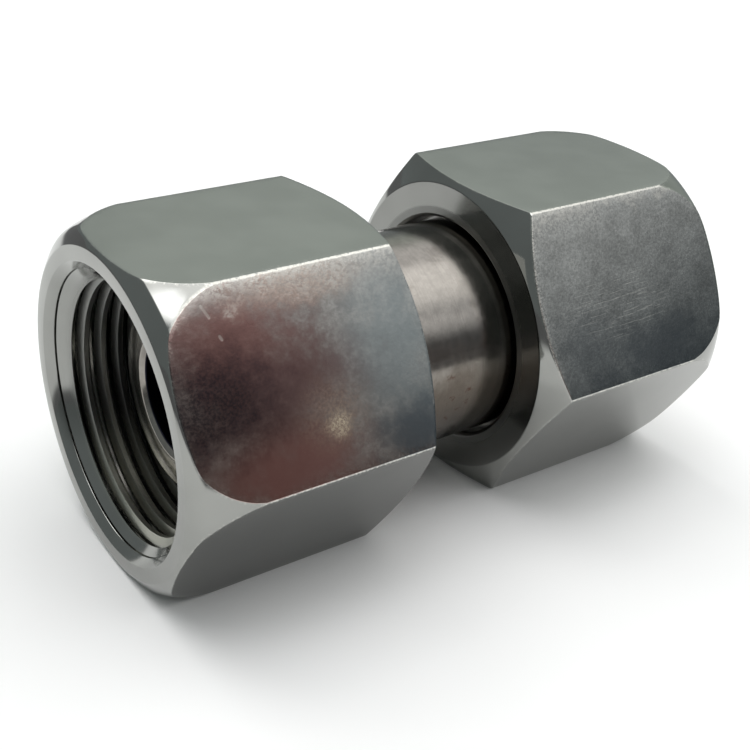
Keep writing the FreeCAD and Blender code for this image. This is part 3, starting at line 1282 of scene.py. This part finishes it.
@dataclass(frozen=True)
class Zone:
    """A soft-edged part of the sky.

    Args:
        azimuth: Middle direction in degrees, 0 towards -Y and 90 towards +X.
        half_width: Half its width in degrees.
        low: Lowest elevation in degrees.
        high: Highest elevation in degrees.
        soft: Half the width of its soft lower and upper edges.
        side_soft: Half the width of its soft sides.
        colour: Its light.
    """

    azimuth: float
    half_width: float
    low: float
    high: float
    soft: float
    side_soft: float
    colour: Triple


@dataclass(frozen=True)
class Studio:
    """Floor, sky and camera.

    Args:
        zones: Parts of the sky, each over the ones before it.
        sky: The light of the rest of the sky.
        paper_colour: The pale paper round the object.
        paper_place: How far behind the object the middle of the paper lies, in metres.
        paper_size: Half its length and half its width, in metres.
        paper_soft: Half the width of its soft edge, in metres.
        floor_colour: The floor beyond the paper.
        floor_radius: The floor's radius in metres.
        lens: The camera's focal length in millimetres on a 36 mm sensor.
        camera_place: The camera's place in metres.
        azimuth: The camera's direction in degrees, 0 along +Y.
        elevation: How far the camera looks down, in degrees.
        roll: The camera's roll in degrees.
    """

    FLOOR_SIDES = 96
    FLOOR_ROUGH = 0.9
    FLOOR_SHINE = 0.2
    HALF_CIRCLE = 180.0
    SENSOR = 36.0       # millimetres
    CLIP_START = 0.005  # metres

    zones: tuple[Zone, ...] = (
        Zone(-20, 50, -20, 40, 8, 15, (0.115, 0.128, 0.125)),
        Zone(92, 32, 4, 120, 10, 12, (0.50, 0.55, 0.51)),
        Zone(140, 22, 17, 120, 7, 10, (0.54, 0.59, 0.55)),
        Zone(26, 10, -20, 40, 8, 6, (0.17, 0.128, 0.119)),
        Zone(50, 14, -20, 40, 8, 6, (0.10, 0.115, 0.125)),
        Zone(52, 18, 20, 120, 7, 8, (0.8, 0.81, 0.82)),
        Zone(29, 10, 31, 120, 8, 8, (1.9, 1.9, 1.9)),
        Zone(105, 45, 34, 120, 8, 12, (1.1, 1.1, 1.1)),
        Zone(66, 44, 46, 120, 9, 10, (1.8, 1.8, 1.78)),
        Zone(-12, 32, 50, 120, 8, 10, (1.8, 1.8, 1.78)),
        Zone(-115, 45, 62, 120, 5, 12, (1.8, 1.8, 1.78)),
        Zone(194, 24, 36, 120, 8, 10, (3.6, 3.6, 3.55)),
        Zone(0, 200, 70, 120, 3, 1, (2.15, 2.15, 2.13)),
        Zone(-75, 36, 66, 84, 5, 14, (3.8, 3.8, 3.85)),
    )
    sky: Triple = (0.25, 0.275, 0.275)
    paper_colour: Triple = (0.97, 0.97, 0.97)
    paper_place: float = 0.095
    paper_size: Pair = (0.168, 0.108)
    paper_soft: float = 0.014
    floor_colour: Triple = (0.16, 0.16, 0.165)
    floor_radius: float = 2.0
    lens: float = 58.01
    camera_place: Triple = (-0.05749, -0.07319, 0.04941)
    azimuth: float = -37.45
    elevation: float = 29.70
    roll: float = 4.79

    def build(self) -> None:
        """Makes the floor, the sky and the camera."""
        self.make_floor()
        self.make_sky()
        self.make_camera()

    def make_floor(self) -> None:
        """Makes a round floor under the object."""
        Bench.take(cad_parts["connector_body"])
        bpy.ops.mesh.primitive_circle_add(vertices=self.FLOOR_SIDES, radius=self.floor_radius,
                                          fill_type="NGON", location=(0, 0, CAD_BOX[0][2]))
        floor = bpy.context.object
        floor.name = floor.data.name = "studio_floor"
        material, graph = new_material("studio_paper")
        here = graph.signal("ShaderNodeTexCoord", {}, {}, "Object", vector=True)
        beyond, aside = graph.parts(self.turned(graph, here))[:2]
        soft = (-self.paper_soft, self.paper_soft)
        long_way = abs(beyond - self.paper_place).fall(*limits(self.paper_size[0], soft))
        wide_way = abs(aside).fall(*limits(self.paper_size[1], soft))
        colour = (long_way * wide_way).blend(self.floor_colour, self.paper_colour)
        graph.surface({"Base Color": colour, "Roughness": self.FLOOR_ROUGH,
                       "Specular IOR Level": self.FLOOR_SHINE})
        floor.data.materials.append(material)

    def turned(self, graph: Graph, place: Signal) -> Signal:
        """A place seen from the paper: how far beyond the object, how far aside, and its height."""
        sockets = {"Vector": place, "Angle": math.radians(self.azimuth + 90)}
        return graph.signal("ShaderNodeVectorRotate", {"rotation_type": "Z_AXIS", "invert": True},
                            sockets, vector=True)

    def make_sky(self) -> None:
        """Makes a sky of soft zones."""
        world = bpy.data.worlds.new("studio_sky")
        world.use_nodes = True
        graph = Graph(world.node_tree)
        ray = graph.signal("ShaderNodeTexCoord", {}, {}, "Generated", vector=True)
        x, y, z = graph.parts(ray)
        azimuth = graph.maths("ARCTAN2", x, 0.0 - y) * math.degrees(1)
        elevation = graph.maths("ARCSINE", z) * math.degrees(1)
        light = self.sky
        for zone in self.zones:
            aside = abs(graph.maths("WRAP", azimuth - zone.azimuth,
                                    self.HALF_CIRCLE, -self.HALF_CIRCLE))
            soft = (-zone.soft, zone.soft)
            mask = aside.fall(*limits(zone.half_width, (-zone.side_soft, zone.side_soft)))
            mask = mask * elevation.rise(*limits(zone.low, soft))
            mask = mask * elevation.fall(*limits(zone.high, soft))
            light = mask.blend(light, zone.colour)
        background = graph.signal("ShaderNodeBackground", {}, {"Color": light})
        graph.node("ShaderNodeOutputWorld", {}, {"Surface": background})
        bpy.context.scene.world = world

    def make_camera(self) -> None:
        """Places the camera at the photograph's viewing angle."""
        data = bpy.data.cameras.new("camera")
        data.lens = self.lens
        data.sensor_width = self.SENSOR
        data.clip_start = self.CLIP_START
        camera = bpy.data.objects.new("camera", data)
        bpy.context.scene.collection.objects.link(camera)
        turn = (Matrix.Rotation(math.radians(self.azimuth), 4, "Z")
                @ Matrix.Rotation(math.radians(90 - self.elevation), 4, "X")
                @ Matrix.Rotation(math.radians(self.roll), 4, "Z"))
        camera.matrix_world = Matrix.Translation(self.camera_place) @ turn
        bpy.context.scene.camera = camera


@dataclass
class Union:
    """The whole union: body, nuts, seals and retaining rings.

    Args:
        half_length: Half the union's length in millimetres.
        nut: The nuts' sizes.
        nut_steps: The number of faces round a nut.
        body_steps: The number of faces round the body.
    """

    half_length: float = 26.7
    nut: SwivelNut = field(default_factory=SwivelNut)
    nut_steps: int = 360
    body_steps: int = 256

    def build(self) -> None:
        """Builds and dresses every piece."""
        left = self.nut.build(Lathe(self.half_length, self.nut_steps))
        right = self.nut.turned_round(left)
        body = ConnectorBody(self.half_length).build(Lathe(self.half_length, self.body_steps))
        self.hand_in(left, "left_nut", End.LEFT.nut_body,
                     self.left_finish().material(self.nut, self.half_length))
        self.hand_in(right, "right_nut", End.RIGHT.nut_body,
                     self.right_finish().material(self.nut, self.half_length))
        self.hand_in(body, "connector_body", "connector",
                     TurnedSteel("turned_steel").material())
        self.dress_rings("seal_ring", SealRubber("seal_rubber").material())
        self.dress_rings("retaining_ring", DrawnWire("drawn_wire").material())

    @staticmethod
    def left_finish() -> PlatedSteel:
        """The left nut's plating. On the flat towards the viewer, its brown films are partly tarnish and
        partly painted reflection, and its near-black and bluish patches are painted shade.
        """
        # Brown is partly tarnish and partly painted reflection; the near-black and bluish colours are
        # painted shade.
        brown = (0.46, 0.275, 0.25)
        dark_shade = (0.05, 0.046, 0.058)
        bluish_shade = (0.17, 0.205, 0.23)
        return PlatedSteel("plated_steel_left", painted_lower_shade=0.34, films_and_shade=(
            # Among these, the brown patches are partly tarnish and partly painted reflection, and the
            # near-black and bluish ones are painted shade.
            Smudge((-19.8, 0.8), (8.0, 8.5), (0.34, 0.25, 0.235), 0.65),
            Smudge((-21.8, -3.6), (6.2, 4.4), (0.35, 0.195, 0.18), 0.85),
            Smudge((-19.0, 6.0), (6.5, 3.2), brown, 0.85),
            Smudge((-8.8, 0.0), (4.5, 7.0), (0.40, 0.455, 0.46), 0.75),
            Smudge((-15.8, -6.6), (6.0, 1.7), (0.76, 0.59, 0.49), 0.6, 0.05, 0.4),
            Smudge((-18.5, 0.4), (6.5, 3.2), (0.24, 0.15, 0.145), 0.7, 0.03),
            Smudge((-24.9, 0.4), (6.5, 4.3), dark_shade, 0.9, 0.03, 0.3),
            Smudge((-8.4, 6.0), (3.6, 2.6), bluish_shade, 0.85),
            Smudge((-14.8, 3.2), (3.0, 2.6), (0.60, 0.48, 0.385), 0.6, 0.1, 0.6),
            Smudge((-14.6, 3.9), (1.2, 1.05), (0.82, 0.72, 0.54), 0.9, 0.15, 0.5),
        ), scratches=(
            Scratch((-23.1, -6.5), (-22.7, -5.6), 0.17),
            Scratch((-22.25, -4.2), (-22.15, -3.95), 0.17),
        ))

    @staticmethod
    def right_finish() -> PlatedSteel:
        """The right nut's plating, with fine scratches along the flat towards the viewer and painted
        shadow on it.
        """
        shadow = (0.20, 0.22, 0.235)
        return PlatedSteel("plated_steel_right", painted_lower_shade=0.6, grain=0.55, mottle=0.6, wear=1.2,
                           rear_wear=1.3, rubbed=(14.5, 1.2, 6.0, 3.0), films_and_shade=(
                               Smudge((18.0, 6.0), (7.0, 3.4), shadow, 0.7),
                               Smudge((10.0, 4.5), (3.5, 4.0), shadow, 0.4),
                           ))

    def hand_in(self, piece: Piece, node: str, body: str,
                material: Material) -> None:
        """Dresses a piece, hangs it on the body that it moves with and hides the solid that it stands
        for.

        Args:
            piece: The finished piece.
            node: The solid that it stands for.
            body: The body that it moves with.
            material: Its finish.
        """
        piece.data.materials.clear()
        piece.data.materials.append(material)
        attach(piece, body)
        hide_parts(node)
        LOG.info("%s: %d faces, %s", piece.name, len(piece.data.polygons), material.name)

    def dress_rings(self, kind: str, material: Material) -> None:
        """Gives both rings whose names end in a kind their finish."""
        for end in End:
            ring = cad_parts[f"{end.prefix}_{kind}"]
            for slot in ring.material_slots:
                slot.material = material
            LOG.info("%s: %s", ring.name, material.name)


def main() -> None:
    """Builds the union and the studio."""
    logging.basicConfig(level=logging.INFO, format="%(message)s")
    Union().build()
    Studio().build()
    bpy.context.scene.view_settings.view_transform = "Standard"


if __name__ == "__main__":
    main()
